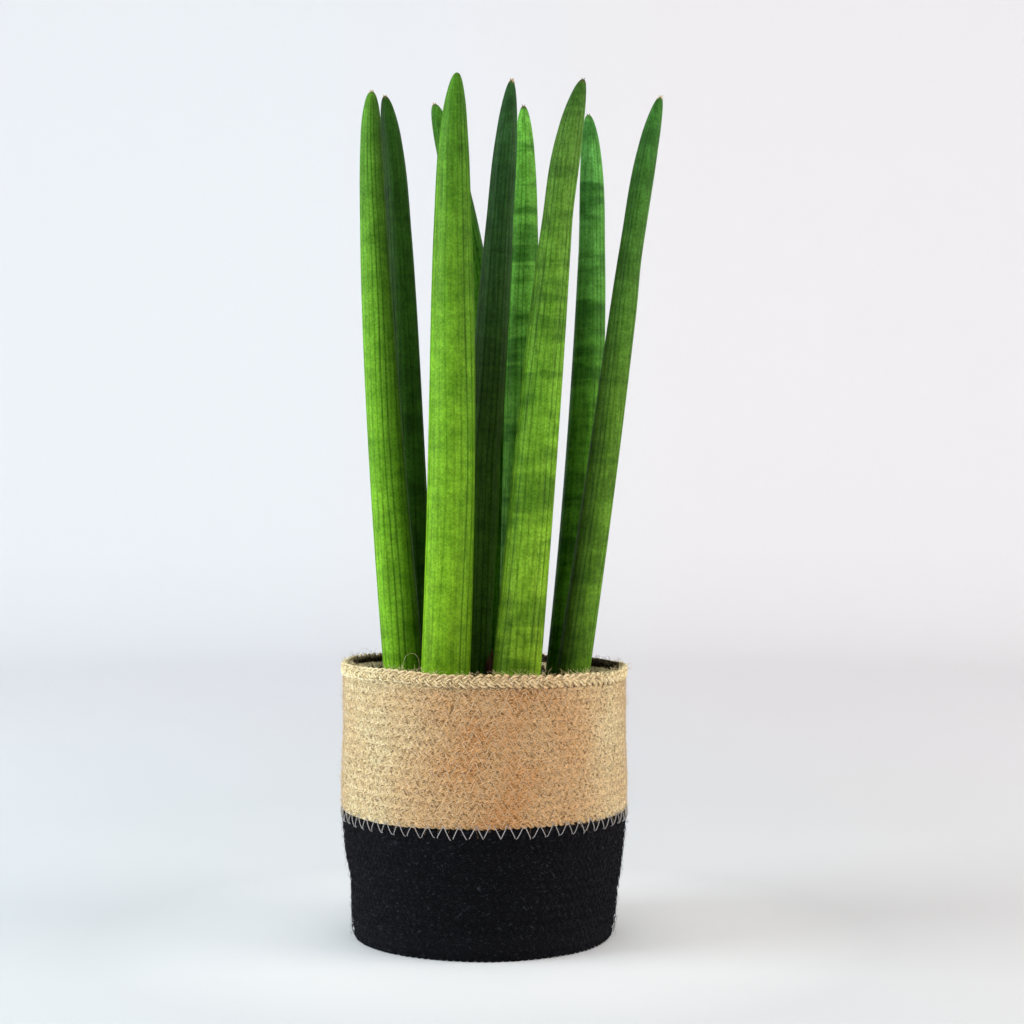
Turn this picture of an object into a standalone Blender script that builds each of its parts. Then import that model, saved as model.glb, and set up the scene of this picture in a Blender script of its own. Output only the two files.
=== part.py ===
# Potted snake plant: nine round leaves standing in soil in a nursery pot, inside a sewn jute basket.
# Metres, +Z up. The origin is the centre of the basket's underside, and the front is towards -Y.

import math

import bmesh
import bpy

mm = 0.001

# Basket, made of a braided strap sewn round and round
basketHeight = 142 * mm
rimRadius = 75 * mm  # outside of the thick top plait
rimPlaitHeight = 6.5 * mm
rimPlaitWidth = 7 * mm
braidThickness = 5 * mm  # wall of the two bands
floorThickness = 5 * mm
lowerBandHeight = 66 * mm  # dark band, up to the seam
footCorner = 5 * mm  # rounding between wall and underside
# How far the wall lies inside the rim's outside, by share of the basket's height
wallShape = ((0.0, 6.2), (0.15, 5.0), (0.28, 2.6), (0.42, 0.8), (0.6, 0.8), (0.76, 1.6), (1.0, 1.5))

# Zigzag thread over the seam between the bands
threadThickness = 0.8 * mm
stitchHeight = 7.5 * mm
stitchLength = 8 * mm
stitchDrop = 0.8 * mm  # middle of the stitches below the seam

# Nursery pot, lifted out by the gap round it
fingerGap = 7 * mm
potHeight = 120 * mm
potFootRadius = 47 * mm
potWall = 1.2 * mm
potBandWidth = 1.8 * mm  # how far the pot's rim band stands out
potBandHeight = 9 * mm
drainHoleRadius = 4 * mm
drainHoleCircle = 28 * mm
drainHoleCount = 6

# Soil
soilBelowPotRim = 8 * mm
rootDepth = 18 * mm  # how deep each leaf stands in the soil

# Dry scale leaf that hugs the foot of leaf_5
sheathHeight = 36 * mm
sheathThickness = 0.7 * mm

clearance = 0.3 * mm  # between pieces that touch
aroundSteps = 64
leafSides = 16
leafDepthShare = 0.9  # a leaf's front-to-back thickness, by share of its width
tipTaper = 24 * mm  # length over which a leaf narrows to its point
clumpReach = 58 * mm  # the soil's radius that the feet and widths below are laid out for

# Each leaf in mm: foot on the soil, how far the tip leans from it, sideways bow half-way up,
# curl of the last part, length above the soil, and width at the foot, half-way and near the tip
leafSizes = {
    "leaf_1": {"foot": (-40, 0), "lean": (-20.5, -4), "bow": -2.5, "curl": 2, "length": 323, "widths": (21.5, 18, 11.5)},
    "leaf_2": {"foot": (-34, 22), "lean": (-14, 6), "bow": -1, "curl": -5.5, "length": 327, "widths": (19, 17, 10.5)},
    "leaf_3": {"foot": (-20.5, -18), "lean": (3, -4), "bow": 3, "curl": 4, "length": 329, "widths": (25.5, 24, 13.5)},
    "leaf_4": {"foot": (-1, 41), "lean": (-25, -6), "bow": 15.5, "curl": -1, "length": 324, "widths": (19, 18.5, 12.5)},
    "leaf_5": {"foot": (-7.5, 8), "lean": (21, -2), "bow": -1, "curl": 1, "length": 331, "widths": (19.5, 18, 10)},
    "leaf_6": {"foot": (16, 21), "lean": (6, 9), "bow": 1, "curl": -1, "length": 322, "widths": (20, 18.5, 11)},
    "leaf_7": {"foot": (15, -14), "lean": (28, -6), "bow": 0.5, "curl": 8, "length": 326, "widths": (25.5, 21, 11)},
    "leaf_8": {"foot": (41, 22), "lean": (18, 12), "bow": 4.5, "curl": -3, "length": 318, "widths": (20.5, 18, 10.5)},
    "leaf_9": {"foot": (43.5, -6), "lean": (42, -4), "bow": 1.5, "curl": 6, "length": 319, "widths": (17.5, 15.5, 9)},
}

# Heights and radii that follow from the sizes above
potFloor = floorThickness + clearance
potTop = potFloor + potHeight
soilTop = potTop - soilBelowPotRim
basketMouth = rimRadius - rimPlaitWidth
potRimRadius = basketMouth - fingerGap
potTopRadius = potRimRadius - potBandWidth
layoutScale = (potTopRadius - potWall) / clumpReach

for old in list(bpy.data.objects):
    bpy.data.objects.remove(old, do_unlink=True)

part = bpy.data.collections.new("potted_snake_plant")
bpy.context.scene.collection.children.link(part)
soilCutters = bpy.data.collections.new("soil_cutters")
potCutters = bpy.data.collections.new("pot_cutters")
for helper in (soilCutters, potCutters):
    helper.hide_render = True
    bpy.context.scene.collection.children.link(helper)

root = bpy.data.objects.new("root", None)
part.objects.link(root)


def material(name, colour, roughness, metallic=0.0):
    made = bpy.data.materials.new(name)
    made.use_nodes = True
    shader = made.node_tree.nodes["Principled BSDF"]
    shader.inputs["Base Color"].default_value = (*colour, 1)
    shader.inputs["Roughness"].default_value = roughness
    shader.inputs["Metallic"].default_value = metallic
    made.diffuse_color = (*colour, 1)
    return made


naturalJute = material("natural_jute", (0.46, 0.31, 0.16), 0.9)
navyJute = material("navy_jute", (0.012, 0.013, 0.022), 0.9)
paleThread = material("pale_thread", (0.55, 0.53, 0.49), 0.75)
potPlastic = material("black_pot_plastic", (0.02, 0.02, 0.02), 0.5)
pottingSoil = material("potting_soil", (0.045, 0.028, 0.017), 0.95)
leafSkin = material("leaf_skin", (0.13, 0.27, 0.06), 0.42)
dryHusk = material("dry_husk", (0.2, 0.1, 0.05), 0.8)


def place(name, mesh, look, collection=part):
    made = bpy.data.objects.new(name, mesh)
    collection.objects.link(made)
    if collection is part:
        made.parent = root
        made.data.materials.append(look)
    else:
        made.display_type = "WIRE"
    return made


def smooth(made, degrees):
    made.data.shade_smooth()
    made.data.set_sharp_from_angle(angle=math.radians(degrees))


def turned(name, profile, look, closed):
    # A turned solid. The profile starts inside and runs down the outer side, as (radius, height) pairs.
    mesh = bpy.data.meshes.new(name)
    shape = bmesh.new()
    points = [shape.verts.new((radius, 0, height)) for radius, height in profile]
    for first, second in zip(points, points[1:]):
        shape.edges.new((first, second))
    if closed:
        shape.edges.new((points[-1], points[0]))
    shape.to_mesh(mesh)
    shape.free()
    made = place(name, mesh, look)
    screw = made.modifiers.new("turn", "SCREW")
    screw.axis = "Z"
    screw.angle = math.tau
    screw.steps = aroundSteps
    screw.render_steps = aroundSteps
    screw.use_merge_vertices = True
    screw.merge_threshold = 0.00001
    screw.use_smooth_shade = True
    return made


def wallRadius(height):
    # Outside of the basket's wall at this height
    share = height / basketHeight
    for (lowShare, lowInset), (highShare, highInset) in zip(wallShape, wallShape[1:]):
        if share <= highShare:
            partWay = (share - lowShare) / (highShare - lowShare)
            return rimRadius - (lowInset + (highInset - lowInset) * partWay) * mm
    return rimRadius - wallShape[-1][1] * mm


def heights(low, high, count):
    return [low + (high - low) * step / count for step in range(count + 1)]


# Lower band with its floor
bandTop = lowerBandHeight - clearance / 2
inner = [(0, floorThickness), (wallRadius(floorThickness) - braidThickness - 3 * mm, floorThickness)]
inner += [(wallRadius(z) - braidThickness, z) for z in heights(floorThickness + 3 * mm, bandTop, 5)]
outer = [(wallRadius(z), z) for z in heights(bandTop, footCorner, 8)]
corner = []
for step in range(1, 5):
    turn = math.radians(22.5 * step)
    middle = wallRadius(footCorner) - footCorner
    corner.append((middle + footCorner * math.cos(turn), footCorner - footCorner * math.sin(turn)))
turned("basket_lower_band", inner + outer + corner + [(0, 0)], navyJute, False)

# Upper band
upperLow = lowerBandHeight + clearance / 2
upperHigh = basketHeight - rimPlaitHeight - clearance
inner = [(wallRadius(z) - braidThickness, z) for z in heights(upperLow, upperHigh, 5)]
outer = [(wallRadius(z), z) for z in heights(upperHigh, upperLow, 5)]
turned("basket_upper_band", inner + outer, naturalJute, True)

# Thick plait along the rim, rounded all round
rimMiddle = rimRadius - rimPlaitWidth / 2
rimLow = basketHeight - rimPlaitHeight
rimRound = 2 * mm
plait = []
for side, level, start in ((-1, -1, 270), (-1, 1, 180), (1, 1, 90), (1, -1, 0)):
    for step in range(3):
        turn = math.radians(start - 45 * step)
        across = side * (rimPlaitWidth / 2 - rimRound) + rimRound * math.cos(turn)
        up = level * (rimPlaitHeight / 2 - rimRound) + rimRound * math.sin(turn)
        plait.append((rimMiddle + across, rimLow + rimPlaitHeight / 2 + up))
turned("rim_plait", plait, naturalJute, True)

# Zigzag thread over the seam
threadRadius = threadThickness / 2
stitches = round(math.tau * wallRadius(lowerBandHeight) / stitchLength)
curve = bpy.data.curves.new("seam_thread", "CURVE")
curve.dimensions = "3D"
curve.bevel_depth = threadRadius
curve.bevel_resolution = 1
thread = curve.splines.new("POLY")
thread.points.add(2 * stitches - 1)
for index, point in enumerate(thread.points):
    turn = math.tau * index / (2 * stitches)
    level = lowerBandHeight - stitchDrop + (stitchHeight / 2 if index % 2 else -stitchHeight / 2)
    reach = wallRadius(level) + clearance + threadRadius
    point.co = (reach * math.cos(turn), reach * math.sin(turn), level, 1)
thread.use_cyclic_u = True
place("seam_thread", curve, paleThread)


def potOuter(height):
    share = (height - potFloor) / potHeight
    return potFootRadius + (potTopRadius - potFootRadius) * share


# Nursery pot with a standing-out band at its rim and drain holes in its floor
potInside = potFloor + 1.5 * mm
bandLow = potTop - potBandHeight
profile = [
    (0, potInside),
    (potOuter(potInside) - potWall - 2 * mm, potInside),
    (potOuter(potInside + 2 * mm) - potWall, potInside + 2 * mm),
    (potTopRadius - potWall, potTop - 0.6 * mm),
    (potTopRadius - potWall + 0.5 * mm, potTop),
    (potRimRadius - 0.6 * mm, potTop),
    (potRimRadius, potTop - 0.8 * mm),
    (potRimRadius, bandLow),
    (potOuter(bandLow), bandLow - 0.4 * mm),
    (potOuter(potFloor + 2 * mm), potFloor + 2 * mm),
    (potFootRadius - 2 * mm, potFloor),
    (0, potFloor),
]
pot = turned("nursery_pot", profile, potPlastic, False)
for index in range(drainHoleCount):
    turn = math.tau * index / drainHoleCount
    shape = bmesh.new()
    bmesh.ops.create_cone(
        shape, cap_ends=True, segments=16, radius1=drainHoleRadius, radius2=drainHoleRadius, depth=12 * mm
    )
    mesh = bpy.data.meshes.new("drain_hole_cutter")
    shape.to_mesh(mesh)
    shape.free()
    cutter = place(f"drain_hole_cutter_{index + 1}", mesh, None, potCutters)
    cutter.location = (drainHoleCircle * math.cos(turn), drainHoleCircle * math.sin(turn), potFloor)
drains = pot.modifiers.new("drain_holes", "BOOLEAN")
drains.operation = "DIFFERENCE"
drains.solver = "EXACT"
drains.operand_type = "COLLECTION"
drains.collection = potCutters


def widthAlong(widths, share):
    # Width in mm by share of the leaf's length, through the foot, half-way and near-tip widths
    foot, half, high = widths
    share = max(share, 0)
    halfPower, highPower = 0.5**5, 0.9**5
    curved = ((foot - high) - (foot - half) * 0.9 / 0.5) / (highPower - halfPower * 0.9 / 0.5)
    straight = ((foot - half) - curved * halfPower) / 0.5
    return foot - straight * share - curved * share**5


def leafSection(size, level, spare=0.0):
    # Centre and half sizes of a leaf at a height above the soil, in metres
    share = level / (size["length"] * mm)
    bent = 4 * share * (1 - share) if share > 0 else 4 * share
    curled = share**9 if share > 0 else 0
    across = (size["foot"][0] * layoutScale + size["lean"][0] * share + size["bow"] * bent + size["curl"] * curled) * mm
    back = (size["foot"][1] * layoutScale + size["lean"][1] * share) * mm
    half = widthAlong(size["widths"], share) / 2 * layoutScale * mm
    taperStart = size["length"] * mm - tipTaper
    if level > taperStart:
        half *= max(1 - ((level - taperStart) / tipTaper) ** 2, 0) ** 0.6
    return across, back, half + spare, half * leafDepthShare + spare


def loft(name, rings, tip, look, collection=part):
    # A closed solid through level rings of points, flat below and pointed above where tip is given
    shape = bmesh.new()
    made = [[shape.verts.new(point) for point in ring] for ring in rings]
    sides = len(rings[0])
    for low, high in zip(made, made[1:]):
        for index in range(sides):
            following = (index + 1) % sides
            shape.faces.new((low[index], low[following], high[following], high[index]))
    shape.faces.new(list(reversed(made[0])))
    if tip is None:
        shape.faces.new(made[-1])
    else:
        top = shape.verts.new(tip)
        for index in range(sides):
            shape.faces.new((made[-1][index], made[-1][(index + 1) % sides], top))
    mesh = bpy.data.meshes.new(name)
    shape.to_mesh(mesh)
    shape.free()
    return place(name, mesh, look, collection)


def leafRing(size, level, spare=0.0):
    across, back, half, depth = leafSection(size, level, spare)
    ring = []
    for index in range(leafSides):
        turn = math.tau * index / leafSides
        ring.append((across + half * math.cos(turn), back + depth * math.sin(turn), soilTop + level))
    return ring


for name, size in leafSizes.items():
    length = size["length"] * mm
    levels = [-rootDepth, 0] + heights(0, length - tipTaper, 14)[1:]
    levels += [length - tipTaper * (1 - share) for share in (0.3, 0.52, 0.71, 0.86, 0.95)]
    across, back, half, depth = leafSection(size, length)
    leaf = loft(name, [leafRing(size, level) for level in levels], (across, back, soilTop + length), leafSkin)
    smooth(leaf, 50)
    cutLevels = (-rootDepth - clearance, 0, 4 * mm)
    loft(name + "_cutter", [leafRing(size, level, clearance) for level in cutLevels], None, None, soilCutters)

# Soil, filling the pot and open round each leaf
soilFloor = potInside + clearance
soilRim = potOuter(soilTop) - potWall - clearance
profile = [
    (0, soilTop),
    (soilRim - 2 * mm, soilTop),
    (soilRim, soilTop - 1.5 * mm),
    (potOuter(potInside + 2 * mm) - potWall - clearance, potInside + 2 * mm + clearance),
    (potOuter(potInside) - potWall - 2 * mm - clearance, soilFloor),
    (0, soilFloor),
]
soil = turned("soil", profile, pottingSoil, False)
planting = soil.modifiers.new("leaf_holes", "BOOLEAN")
planting.operation = "DIFFERENCE"
planting.solver = "EXACT"
planting.operand_type = "COLLECTION"
planting.collection = soilCutters

# Dry scale leaf: a curved sheet round the front right of leaf_5's foot, standing on the soil
host = leafSizes["leaf_5"]
columns, rows = 12, 9
shape = bmesh.new()
grid = []
for column in range(columns + 1):
    share = column / columns
    turn = math.radians(-100 + 95 * share)
    tall = sheathHeight * (0.3 + 0.7 * math.sin(math.pi * share) ** 0.8)
    line = []
    for row in range(rows + 1):
        level = clearance + tall * row / rows
        across, back, half, depth = leafSection(host, level, 1.5 * clearance + 0.8 * mm * (row / rows) ** 2)
        line.append(shape.verts.new((across + half * math.cos(turn), back + depth * math.sin(turn), soilTop + level)))
    grid.append(line)
for first, second in zip(grid, grid[1:]):
    for row in range(rows):
        shape.faces.new((first[row], second[row], second[row + 1], first[row + 1]))
mesh = bpy.data.meshes.new("dry_sheath")
shape.to_mesh(mesh)
shape.free()
sheath = place("dry_sheath", mesh, dryHusk)
skin = sheath.modifiers.new("thickness", "SOLIDIFY")
skin.thickness = sheathThickness
skin.offset = 1
smooth(sheath, 50)

print("potted snake plant:", len([made for made in part.objects if made.type != "EMPTY"]), "pieces")
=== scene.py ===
import math

import bpy
import numpy as np
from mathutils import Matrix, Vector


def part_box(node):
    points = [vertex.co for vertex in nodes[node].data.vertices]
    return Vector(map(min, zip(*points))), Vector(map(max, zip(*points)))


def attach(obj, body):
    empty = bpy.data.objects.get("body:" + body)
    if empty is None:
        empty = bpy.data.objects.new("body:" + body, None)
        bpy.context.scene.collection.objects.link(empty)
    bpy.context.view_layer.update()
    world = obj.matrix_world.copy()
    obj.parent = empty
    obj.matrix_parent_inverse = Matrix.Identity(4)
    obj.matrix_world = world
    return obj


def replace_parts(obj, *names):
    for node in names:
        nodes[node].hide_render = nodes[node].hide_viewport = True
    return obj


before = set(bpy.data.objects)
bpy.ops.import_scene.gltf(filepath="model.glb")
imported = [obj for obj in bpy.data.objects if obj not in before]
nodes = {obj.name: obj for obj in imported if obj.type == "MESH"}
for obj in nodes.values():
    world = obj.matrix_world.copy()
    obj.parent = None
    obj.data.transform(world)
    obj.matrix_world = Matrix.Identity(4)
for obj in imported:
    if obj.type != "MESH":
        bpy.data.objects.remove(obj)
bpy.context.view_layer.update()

mm = 0.001
scene = bpy.context.scene
scene.view_settings.view_transform = "Standard"
fullTurn = math.tau


def linear(hexColour):
    # sRGB hex to the linear colour that the shaders take
    parts = [int(hexColour[i:i + 2], 16) / 255 for i in (1, 3, 5)]
    return (*[p / 12.92 if p <= 0.04045 else ((p + 0.055) / 1.055) ** 2.4 for p in parts], 1)


def fillInputs(tree, node, inputs):
    # Links the sockets among the inputs and sets the plain values
    for name, value in inputs.items():
        if isinstance(value, bpy.types.NodeSocket):
            tree.links.new(value, node.inputs[name])
        else:
            node.inputs[name].default_value = value


def addNode(tree, kind, inputs=None, stops=None, **settings):
    # A new node with its inputs linked or set, and the stops of its colour ramp
    made = tree.nodes.new(kind)
    for name, value in settings.items():
        setattr(made, name, value)
    fillInputs(tree, made, inputs or {})
    if stops:
        ramp = made.color_ramp.elements
        while len(ramp) < len(stops):
            ramp.new(0.5)
        for element, (place, colour) in zip(ramp, stops):
            element.position = place
            element.color = linear(colour) if isinstance(colour, str) else (colour, colour, colour, 1)
    return made


def newMaterial(name):
    made = bpy.data.materials.new(name)
    made.use_nodes = True
    return made, made.node_tree, made.node_tree.nodes["Principled BSDF"]


coloured = {"data_type": "RGBA"}  # a Mix node that blends two colours
darkened = {"data_type": "RGBA", "blend_type": "MULTIPLY"}  # a Mix node that multiplies them

cameraSet = {"away": 1.044, "height": 0.231, "aside": 0.0147, "downDegrees": 0.55, "lens": 70, "sensor": 36}
cameraData = bpy.data.cameras.new("camera")
cameraData.lens = cameraSet["lens"]
cameraData.sensor_width = cameraSet["sensor"]
cameraData.clip_end = 20
camera = bpy.data.objects.new("camera", cameraData)
camera.location = (cameraSet["aside"], -cameraSet["away"], cameraSet["height"])
camera.rotation_euler = (math.radians(90 - cameraSet["downDegrees"]), 0, 0)
scene.collection.objects.link(camera)
scene.camera = camera

stageSet = {
    "floorRadius": 1.7, "curve": 0.8, "wallHeight": 3.0, "around": 96, "curveSteps": 12,
    "reach": 2.4,  # how far from the middle the tones below run, which are placed as shares of it
    # Painted light: these tones are paler close round the basket to lighten its shadow, and darker on the
    # floor beyond against the side lamps
    "tones": [(0.034, "#E2E5E6"), (0.085, "#CDD0D2"), (0.2, "#CDD0D2"), (0.55, "#DFDFE2"), (0.9, "#ECEDEF")],
    "paintedLampTints": [(0.2, "#FCFEFF"), (0.8, "#FFFAF8")],  # cool on the left, warm on the right
    "sideReach": 0.5,
}


def paintedLightPaper():
    # Matte painted paper with no gloss. Its pale field carries painted light: paler close round the basket to
    # lighten the basket's shadow, darker on the floor beyond as painted shade against the side lamps, and a
    # painted lamp tint, cool on the left and warm on the right
    made, tree, shader = newMaterial("studioPaperWithPaintedLight")
    place = addNode(tree, "ShaderNodeTexCoord").outputs["Object"]
    away = addNode(tree, "ShaderNodeVectorMath", {0: place}, operation="LENGTH")
    share = addNode(tree, "ShaderNodeMapRange", {
        "Value": away.outputs["Value"], "From Max": stageSet["reach"]})
    tone = addNode(tree, "ShaderNodeValToRGB", {"Fac": share.outputs[0]}, stops=stageSet["tones"])
    sides = addNode(tree, "ShaderNodeSeparateXYZ", {"Vector": place})
    # A painted lamp tint across the paper, cool on the left and warm on the right
    across = addNode(tree, "ShaderNodeMapRange", {
        "Value": sides.outputs["X"], "From Min": -stageSet["sideReach"], "From Max": stageSet["sideReach"]})
    lampTint = addNode(tree, "ShaderNodeValToRGB", {"Fac": across.outputs[0]}, stops=stageSet["paintedLampTints"])
    lampTinted = addNode(tree, "ShaderNodeMix", {
        0: 1.0, 6: tone.outputs["Color"], 7: lampTint.outputs["Color"]}, **darkened)
    fillInputs(tree, shader, {"Base Color": lampTinted.outputs[2], "Roughness": 0.95, "Specular IOR Level": 0.1})
    return made


def makeStage():
    # A white studio sweep that runs all round: floor, wide curve and wall
    floorRadius, curve, around = stageSet["floorRadius"], stageSet["curve"], stageSet["around"]
    profile = [(floorRadius, 0.0)]
    for step in range(1, stageSet["curveSteps"] + 1):
        turn = math.radians(90 / stageSet["curveSteps"] * step)
        profile.append((floorRadius + curve * math.sin(turn), curve * (1 - math.cos(turn))))
    profile.append((profile[-1][0], stageSet["wallHeight"]))
    points, faces = [(0, 0, 0)], []
    for radius, height in profile:
        for i in range(around):
            turn = fullTurn * i / around
            points.append((radius * math.cos(turn), radius * math.sin(turn), height))
    for i in range(around):
        faces.append((0, 1 + i, 1 + (i + 1) % around))
    for ring in range(len(profile) - 1):
        for i in range(around):
            low, nextLow = 1 + ring * around + i, 1 + ring * around + (i + 1) % around
            faces.append((low, low + around, nextLow + around, nextLow))
    mesh = bpy.data.meshes.new("studio_sweep")
    mesh.from_pydata(points, [], faces)
    mesh.shade_smooth()
    mesh.materials.append(paintedLightPaper())
    made = bpy.data.objects.new("studio_sweep", mesh)
    scene.collection.objects.link(made)


makeStage()

lightSet = {
    "softLeft": {"at": (-1.6, -0.4, 0.7), "size": 1.1, "power": 30, "colour": "#F0F9FD"},
    "softRight": {"at": (1.6, -0.35, 0.7), "size": 1.1, "power": 18, "colour": "#FFF6EC"},
    "softAbove": {"at": (0.0, -0.3, 2.2), "size": 1.4, "power": 6, "colour": "#FFFFFF"},
}
aimPoint = (0, 0, 0.2)  # all three lights look at the leaves just above the rim
glowSet = {"colour": "#F5F8FA", "strength": 0.88}
for name, values in lightSet.items():
    lightData = bpy.data.lights.new(name, "AREA")
    lightData.size = values["size"]
    lightData.energy = values["power"]
    lightData.color = linear(values["colour"])[:3]
    light = bpy.data.objects.new(name, lightData)
    light.location = values["at"]
    aim = np.array(aimPoint) - np.array(values["at"])
    tip = math.atan2(math.hypot(aim[0], aim[1]), -aim[2])
    light.rotation_euler = (tip, 0, math.atan2(aim[1], aim[0]) - math.pi / 2)
    light.visible_camera = False
    scene.collection.objects.link(light)
skyWorld = bpy.data.worlds.new("studio")
skyWorld.use_nodes = True
glow = skyWorld.node_tree.nodes["Background"]
glow.inputs["Color"].default_value = linear(glowSet["colour"])
glow.inputs["Strength"].default_value = glowSet["strength"]
scene.world = skyWorld
print("stage and lights are set")


def makePiece(name, points, faces, look, marks=None):
    # A smooth mesh from arrays of points and four-sided faces, with named marks for its material
    points, faces = np.asarray(points, np.float32), np.asarray(faces, np.int32)
    mesh = bpy.data.meshes.new(name)
    mesh.vertices.add(len(points))
    mesh.vertices.foreach_set("co", points.ravel())
    mesh.loops.add(faces.size)
    mesh.loops.foreach_set("vertex_index", faces.ravel())
    mesh.polygons.add(len(faces))
    mesh.polygons.foreach_set("loop_start", np.arange(0, faces.size, faces.shape[1], dtype=np.int32))
    mesh.update(calc_edges=True)
    mesh.shade_smooth()
    for mark, values in (marks or {}).items():
        values = np.asarray(values, np.float32)
        if values.ndim == 2:
            mesh.attributes.new(mark, "FLOAT_VECTOR", "POINT").data.foreach_set("vector", values.ravel())
        else:
            mesh.attributes.new(mark, "FLOAT", "POINT").data.foreach_set("value", values)
    mesh.materials.append(look)
    made = bpy.data.objects.new(name, mesh)
    scene.collection.objects.link(made)
    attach(made, "root")
    return made


def ringFaces(rings, sides, closedAlong):
    # Faces between rings of points that follow each other
    ring, side = np.meshgrid(np.arange(rings if closedAlong else rings - 1), np.arange(sides), indexing="ij")
    following, beside = (ring + 1) % rings, (side + 1) % sides
    quads = [ring * sides + side, following * sides + side, following * sides + beside, ring * sides + beside]
    return np.stack(quads, -1).reshape(-1, 4)


def tube(path, outward, across, thick, sides, closed, twist=0.0, plies=0):
    # Points, faces and local places of a tube along a path; outward says which way its thickness lies
    path = np.asarray(path, float)
    ahead = np.roll(path, -1, 0) - np.roll(path, 1, 0)
    if not closed:
        ahead[0], ahead[-1] = path[1] - path[0], path[-1] - path[-2]
    ahead /= np.linalg.norm(ahead, axis=1)[:, None]
    out = outward - ahead * (outward * ahead).sum(1)[:, None]
    out /= np.linalg.norm(out, axis=1)[:, None]
    side = np.cross(ahead, out)
    turn = np.linspace(0, fullTurn, sides, endpoint=False)
    across = np.broadcast_to(across, len(path))[:, None, None]
    thick = np.broadcast_to(thick, len(path))[:, None, None]
    steps = np.linalg.norm(np.diff(path, axis=0), axis=1)
    along = np.concatenate([[0], np.cumsum(steps)])
    spin = turn[None] + twist * along[:, None]
    # Each ply bulges, with a crease between it and the next
    crease = (1 - 0.2 * np.abs(np.cos(plies * spin / 2)) ** 5)[..., None] if plies else 1.0
    wide = side[:, None] * across * np.cos(turn)[None, :, None]
    deep = out[:, None] * thick * np.sin(turn)[None, :, None]
    width = float(np.max(across))
    place = np.stack([np.repeat(along[:, None], sides, 1), width * np.cos(spin), width * np.sin(spin)], -1)
    points = path[:, None] + (wide + deep) * crease
    return points.reshape(-1, 3), ringFaces(len(path), sides, closed), place.reshape(-1, 3)


class Pile:
    # Many tubes gathered into one mesh
    def __init__(self):
        self.points, self.faces, self.places, self.count = [], [], [], 0

    def add(self, made, shift=0.0):
        points, faces, places = made
        self.points.append(points)
        self.faces.append(faces + self.count)
        self.places.append(places + np.array((shift, 0, 0)))
        self.count += len(points)

    def piece(self, name, look, slot, inside=None):
        points = np.concatenate(self.points)
        marks = {"fibrePlace": np.concatenate(self.places)}
        if inside:
            marks["inside"] = inside(points)
        return makePiece(name, points, np.concatenate(self.faces), look, marks=marks)


def nodePoints(name):
    mesh = nodes[name].data
    points = np.empty(len(mesh.vertices) * 3, np.float32)
    mesh.vertices.foreach_get("co", points)
    return points.reshape(-1, 3).astype(float)


def fromAxis(points):
    return np.hypot(points[:, 0], points[:, 1])


def curveThrough(levels, values, at):
    # A smooth curve through values at rising levels
    levels, values = np.asarray(levels, float), np.asarray(values, float)
    slopes = np.gradient(values, levels)
    i = np.clip(np.searchsorted(levels, at) - 1, 0, len(levels) - 2)
    gap = levels[i + 1] - levels[i]
    t = (at - levels[i]) / gap
    return ((1 + 2 * t) * (1 - t) ** 2 * values[i] + t * (1 - t) ** 2 * gap * slopes[i]
            + t * t * (3 - 2 * t) * values[i + 1] + t * t * (t - 1) * gap * slopes[i + 1])


naturalLook = {
    "fibre": [(0.28, "#B99C6A"), (0.46, "#EFDBA8"), (0.62, "#FCF0CA"), (0.78, "#FFFDEC")],
    "tan": "#EFC4A6",
    "fleck": "#5C4020", "fleckFrom": 0.53, "fleckMost": 0.8,
    "fleckScale": (560, 1500, 1500),  # flecks about 1.8 mm long and 0.7 mm wide
    # painted shade for the yarns that face the inside, dark brown
    "dust": [(0.45, "#140C07"), (0.56, "#38241A"), (0.72, "#7A6858")],
}
navyLook = {
    # The palest fibre stop and the grey flecks are painted highlights: light specks that catch on the dyed
    # strands
    "fibre": [(0.28, "#030305"), (0.46, "#06060A"), (0.62, "#101117"), (0.78, "#3E4048")],
    "tan": "#D8DCEB",
    "fleck": "#3C3E46", "fleckFrom": 0.6, "fleckMost": 0.75,
    "fleckScale": (330, 1000, 1000),  # flecks about 3 mm long and 1 mm wide
    # painted shade for the yarns that face the inside, near black
    "dust": [(0.45, "#07080C"), (0.56, "#101117"), (0.72, "#22242B")],
}
tanSet = {
    "patches": 0.27, "front": 0.85,  # how strongly patches and the sunny side are tanned
    "slant": -0.14,  # the sunny side lies a little to the right of the front
    "from": -45 * mm, "full": -77 * mm,
    "rimShare": 0.4, "rimFrom": 136.5 * mm, "bandFrom": 133.5 * mm,  # the rim has less of it than the band
}


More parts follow.
